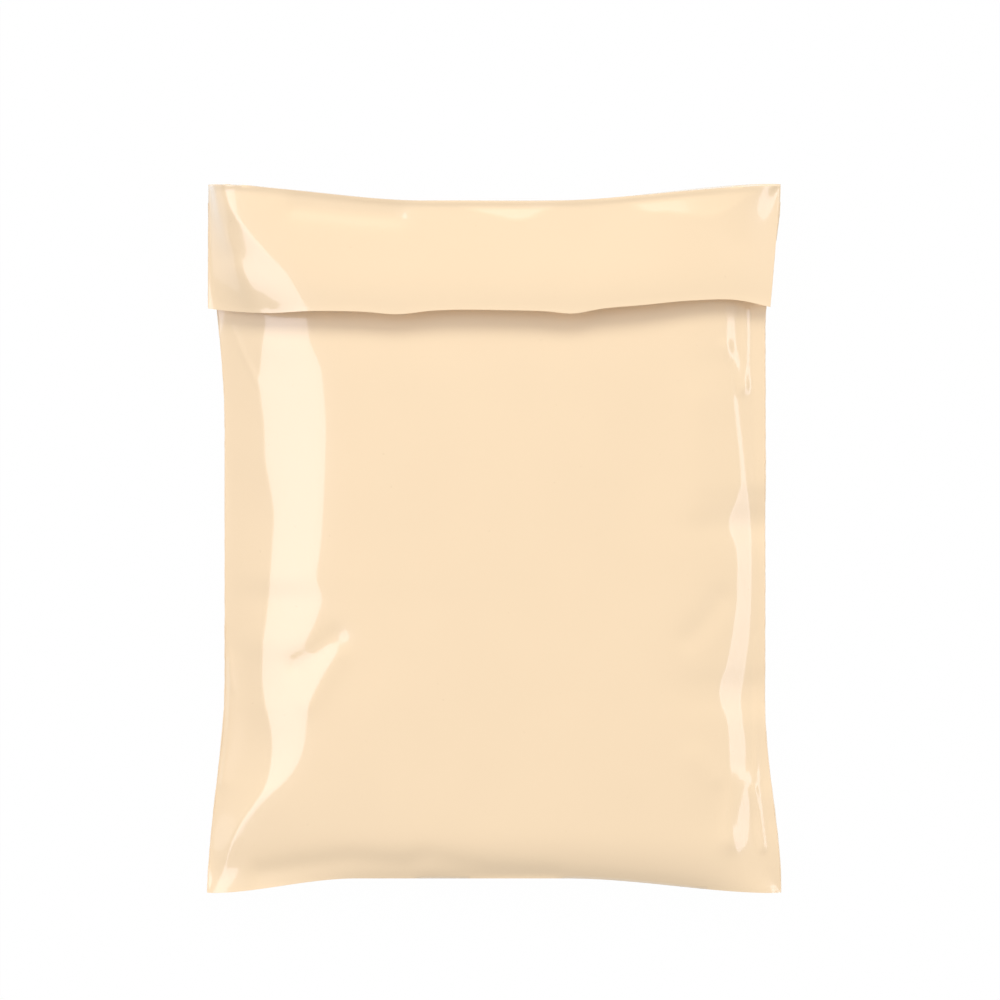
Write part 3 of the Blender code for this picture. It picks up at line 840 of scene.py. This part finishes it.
def grown(name, mesh, tree, values):
    """The mesh that a node tree makes from a mesh, as an object of its own."""
    carrier = bpy.data.objects.new(name + "_lines", mesh)
    bpy.context.scene.collection.objects.link(carrier)
    modifier = carrier.modifiers.new("nodes", "NODES")
    modifier.node_group = tree
    for item in tree.interface.items_tree:
        if item.in_out == "INPUT" and item.name in values:
            modifier[item.identifier] = values[item.name]
    graph = bpy.context.evaluated_depsgraph_get()
    made = bpy.data.meshes.new_from_object(carrier.evaluated_get(graph))
    bpy.data.objects.remove(carrier)
    made.name = name
    piece = bpy.data.objects.new(name, made)
    bpy.context.scene.collection.objects.link(piece)
    print(name, len(made.polygons), "faces")
    return piece


# %% [markdown]
# ## The film's finish
#
# Blown polyethylene film is glossy but never perfect. It has faint streaks along the web from the
# slit that it was blown through, a fine orange peel, and small changes of gloss where it was
# handled. These are a shader node group, because the film and its melted beads share them. The
# group only gives a colour, a roughness and a bumped normal, and each material keeps its own shader.

# %% Finish group
FILM_COLOUR = (0.965, 0.75, 0.49, 1)
STREAK_SCALE = (700, 14, 700)
PEEL_SCALE = 420
HANDLED_SCALE = 26
STREAK_RELIEF = 0.0016 * MM
PEEL_RELIEF = 0.0022 * MM
HANDLED_RELIEF = 0.06 * MM
NOISE_MIDDLE = 0.5


def finish_group():
    """Film finish: its colour with small changes, its roughness, and its relief as a normal."""
    group = bpy.data.node_groups.new("film_finish", "ShaderNodeTree")
    for name, kind in (
        ("Colour", "NodeSocketColor"), ("Colour Change", "NodeSocketFloat"),
        ("Roughness", "NodeSocketFloat"), ("Roughness Change", "NodeSocketFloat"),
        ("Relief", "NodeSocketFloat"),
    ):
        group.interface.new_socket(name, in_out="INPUT", socket_type=kind)
    for name, kind in (
        ("Colour", "NodeSocketColor"), ("Roughness", "NodeSocketFloat"), ("Normal", "NodeSocketVector"),
    ):
        group.interface.new_socket(name, in_out="OUTPUT", socket_type=kind)
    nodes, links = group.nodes, group.links
    given, result = nodes.new("NodeGroupInput"), nodes.new("NodeGroupOutput")
    place = nodes.new("ShaderNodeTexCoord").outputs["Object"]
    stretched = nodes.new("ShaderNodeMapping")
    stretched.inputs["Scale"].default_value = STREAK_SCALE
    links.new(place, stretched.inputs["Vector"])

    def noise(vector, scale, detail):
        texture = nodes.new("ShaderNodeTexNoise")
        texture.inputs["Scale"].default_value = scale
        texture.inputs["Detail"].default_value = detail
        links.new(vector, texture.inputs["Vector"])
        return texture.outputs[0]

    streaks = noise(stretched.outputs[0], scale=1, detail=2)
    peel = noise(place, PEEL_SCALE, detail=2)
    handled = noise(place, HANDLED_SCALE, detail=1)

    def spread(value, change, centre):
        """A noise value moved to lie around a centre, and scaled by the change."""
        offset = nodes.new("ShaderNodeMath")
        offset.operation = "SUBTRACT"
        offset.inputs[1].default_value = NOISE_MIDDLE
        share = nodes.new("ShaderNodeMath")
        share.operation = "MULTIPLY"
        around = nodes.new("ShaderNodeMath")
        around.operation = "ADD"
        links.new(value, offset.inputs[0])
        links.new(offset.outputs[0], share.inputs[0])
        links.new(change, share.inputs[1])
        links.new(share.outputs[0], around.inputs[0])
        links.new(centre, around.inputs[1])
        return around.outputs[0]

    unchanged = nodes.new("ShaderNodeValue").outputs[0]
    unchanged.default_value = 1
    brightness = spread(handled, given.outputs["Colour Change"], unchanged)
    tinted = nodes.new("ShaderNodeVectorMath")
    tinted.operation = "SCALE"
    links.new(given.outputs["Colour"], tinted.inputs[0])
    links.new(brightness, tinted.inputs["Scale"])
    links.new(tinted.outputs[0], result.inputs["Colour"])
    roughness = spread(peel, given.outputs["Roughness Change"], given.outputs["Roughness"])
    links.new(roughness, result.inputs["Roughness"])
    normal = None
    for height, relief in ((handled, HANDLED_RELIEF), (streaks, STREAK_RELIEF), (peel, PEEL_RELIEF)):
        bump = nodes.new("ShaderNodeBump")
        bump.inputs["Distance"].default_value = relief
        links.new(given.outputs["Relief"], bump.inputs["Strength"])
        links.new(height, bump.inputs["Height"])
        if normal:
            links.new(normal, bump.inputs["Normal"])
        normal = bump.outputs[0]
    links.new(normal, result.inputs["Normal"])
    return group


film_finish = finish_group()
print("finish group:", len(film_finish.nodes), "nodes")

# %% [markdown]
# The film has a soft body colour under a clear, sharp gloss: the coat gives the crisp highlights and
# the rougher base the soft light beside them. A melted bead is a little darker and duller.

# %% Film materials
COLOUR_CHANGE = 0.03
ROUGHNESS_CHANGE = 0.1
FULL_RELIEF = 1
FILM_IOR = 1.5


def film_material(name, darker, roughness, coat_roughness):
    """A material with a soft base under a sharp coat, both with the film's finish."""
    material = bpy.data.materials.new(name)
    material.use_nodes = True
    tree = material.node_tree
    shader = tree.nodes["Principled BSDF"]
    finish = tree.nodes.new("ShaderNodeGroup")
    finish.node_tree = film_finish
    finish.inputs["Colour"].default_value = (*[darker * v for v in FILM_COLOUR[:3]], 1)
    finish.inputs["Colour Change"].default_value = COLOUR_CHANGE
    finish.inputs["Roughness"].default_value = roughness
    finish.inputs["Roughness Change"].default_value = ROUGHNESS_CHANGE
    finish.inputs["Relief"].default_value = FULL_RELIEF
    tree.links.new(finish.outputs["Colour"], shader.inputs["Base Color"])
    tree.links.new(finish.outputs["Roughness"], shader.inputs["Roughness"])
    tree.links.new(finish.outputs["Normal"], shader.inputs["Normal"])
    tree.links.new(finish.outputs["Normal"], shader.inputs["Coat Normal"])
    shader.inputs["IOR"].default_value = FILM_IOR
    shader.inputs["Coat Weight"].default_value = 1
    shader.inputs["Coat Roughness"].default_value = coat_roughness
    return material


film.data.materials.append(
    film_material("film", darker=1, roughness=0.3, coat_roughness=0.07))
bead_material = film_material("melted_film", darker=0.97, roughness=0.35, coat_roughness=0.14)
print("film materials:", film.data.materials[0].name, bead_material.name)

# %% [markdown]
# With its material made, the tree grows the beads along the side welds and along the flap's ends.
# Each is turned into a plain mesh, so that nothing is left to be worked out when the part is used.

# %% Melted beads
bead_nodes = bead_tree(bead_material)
weld = grown("side_welds", line_mesh("weld_lines", weld_lines), bead_nodes,
             {"Radius": WELD_BEAD, "Unevenness": BEAD_NOISE_SHARE})
flap_ends = grown("flap_end_welds", line_mesh("flap_lines", flap_lines), bead_nodes,
                  {"Radius": FLAP_BEAD, "Unevenness": BEAD_NOISE_SHARE})

# %% [markdown]
# ## Putting the pieces on the body
#
# The finished film stands for the plain solid of the imported model, and rides on its one body
# together with its two beads. The imported solid is hidden.

# %% Hand over
for piece in (film, weld, flap_ends):
    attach(piece, "root")
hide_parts("mailer")
